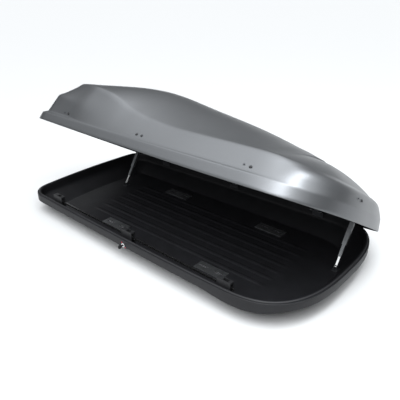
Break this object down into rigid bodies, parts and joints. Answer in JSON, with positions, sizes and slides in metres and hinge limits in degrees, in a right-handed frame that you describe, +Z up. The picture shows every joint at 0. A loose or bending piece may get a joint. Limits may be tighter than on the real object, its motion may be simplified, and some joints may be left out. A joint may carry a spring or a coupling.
{
  "type": "roof cargo box",
  "caption": "Hard-shell roof luggage box: shallow black tray, tall grey lid hinged along one side, key-locked slide latches and telescopic lid stays, shown part open.",
  "frame": {"origin": "middle of the flat underside of the tray floor, where the box rests on the roof bars", "axes": "+X to the nose, -Y to the side that opens, +Z up"},
  "size_m": [1.9, 1.0251, 0.7397],
  "materials": {
    "lid_plastic": "satin metallic grey, faint sparkle, smooth",
    "base_plastic": "matt black, fine leather grain",
    "black_plastic": "matt moulded black",
    "zinc_steel": "zinc plated sheet",
    "coated_steel": "dark zinc coated pressed steel",
    "stay_tube": "dark grey coated tube",
    "bright_steel": "bright plated steel"
  },
  "bodies": {
    "base": {"base_shell": "base_plastic", "rear_near_clamp_plate": "zinc_steel", "rear_far_clamp_plate": "zinc_steel", "front_near_clamp_plate": "zinc_steel", "front_far_clamp_plate": "zinc_steel", "rear_hinge_base_leaf": "coated_steel", "rear_hinge_pin": "bright_steel", "rear_latch_housing": "black_plastic", "middle_hinge_base_leaf": "coated_steel", "middle_hinge_pin": "bright_steel", "middle_latch_housing": "black_plastic", "front_hinge_base_leaf": "coated_steel", "front_hinge_pin": "bright_steel", "front_latch_housing": "black_plastic", "lock_barrel": "bright_steel", "rear_stay_foot": "coated_steel", "rear_stay_rod": "bright_steel", "front_stay_foot": "coated_steel", "front_stay_rod": "bright_steel"},
    "lid": {"lid_shell": "lid_plastic", "rear_hinge_lid_leaf": "coated_steel", "rear_lid_striker": "coated_steel", "middle_hinge_lid_leaf": "coated_steel", "middle_lid_striker": "coated_steel", "front_hinge_lid_leaf": "coated_steel", "front_lid_striker": "coated_steel", "rear_lid_brace": "coated_steel", "front_lid_brace": "coated_steel"},
    "lock_bar": {"locking_bar": "bright_steel", "rear_latch_hook": "bright_steel", "middle_latch_hook": "bright_steel", "front_latch_hook": "bright_steel"},
    "lock_core": {"lock_plug": "bright_steel", "lock_cam": "coated_steel", "key": "black_plastic"},
    "front_stay_middle": {"front_stay_middle_tube": "stay_tube"},
    "front_stay_outer": {"front_stay_sleeve": "stay_tube"},
    "rear_stay_middle": {"rear_stay_middle_tube": "stay_tube"},
    "rear_stay_outer": {"rear_stay_sleeve": "stay_tube"}
  },
  "joints": [
    {"name": "lid_hinge", "type": "hinge", "parent": "base", "child": "lid", "pos_m": [0, 0.424, 0.117], "axis": [1, 0, 0], "range_deg": [0, 29.9]},
    {"name": "locking_slide", "type": "slide", "parent": "base", "child": "lock_bar", "axis": [0.9999, -0.0162, 0], "range_m": [0, 0.0184]},
    {"name": "key_turn", "type": "hinge", "parent": "base", "child": "lock_core", "pos_m": [-0.043, -0.43, 0.085], "axis": [0, 1, 0], "range_deg": [0, 90]},
    {"name": "front_stay_middle_slide", "type": "slide", "parent": "base", "child": "front_stay_middle", "axis": [0, -0.5456, -0.838], "range_m": [0, 0.0382]},
    {"name": "front_stay_sleeve_slide", "type": "slide", "parent": "base", "child": "front_stay_outer", "axis": [0, -0.5456, -0.838], "range_m": [0, 0.1008]},
    {"name": "rear_stay_middle_slide", "type": "slide", "parent": "base", "child": "rear_stay_middle", "axis": [0, -0.5456, -0.838], "range_m": [0, 0.0382]},
    {"name": "rear_stay_sleeve_slide", "type": "slide", "parent": "base", "child": "rear_stay_outer", "axis": [0, -0.5456, -0.838], "range_m": [0, 0.1008]}
  ],
  "couplings": [
    {"joint": "key_turn", "follows": "locking_slide", "rad_per_m": 85.36},
    {"joint": "front_stay_middle_slide", "follows": "lid_hinge", "m_per_rad": 0.07282},
    {"joint": "front_stay_sleeve_slide", "follows": "lid_hinge", "m_per_rad": 0.19281},
    {"joint": "rear_stay_middle_slide", "follows": "lid_hinge", "m_per_rad": 0.07282},
    {"joint": "rear_stay_sleeve_slide", "follows": "lid_hinge", "m_per_rad": 0.19281}
  ]
}
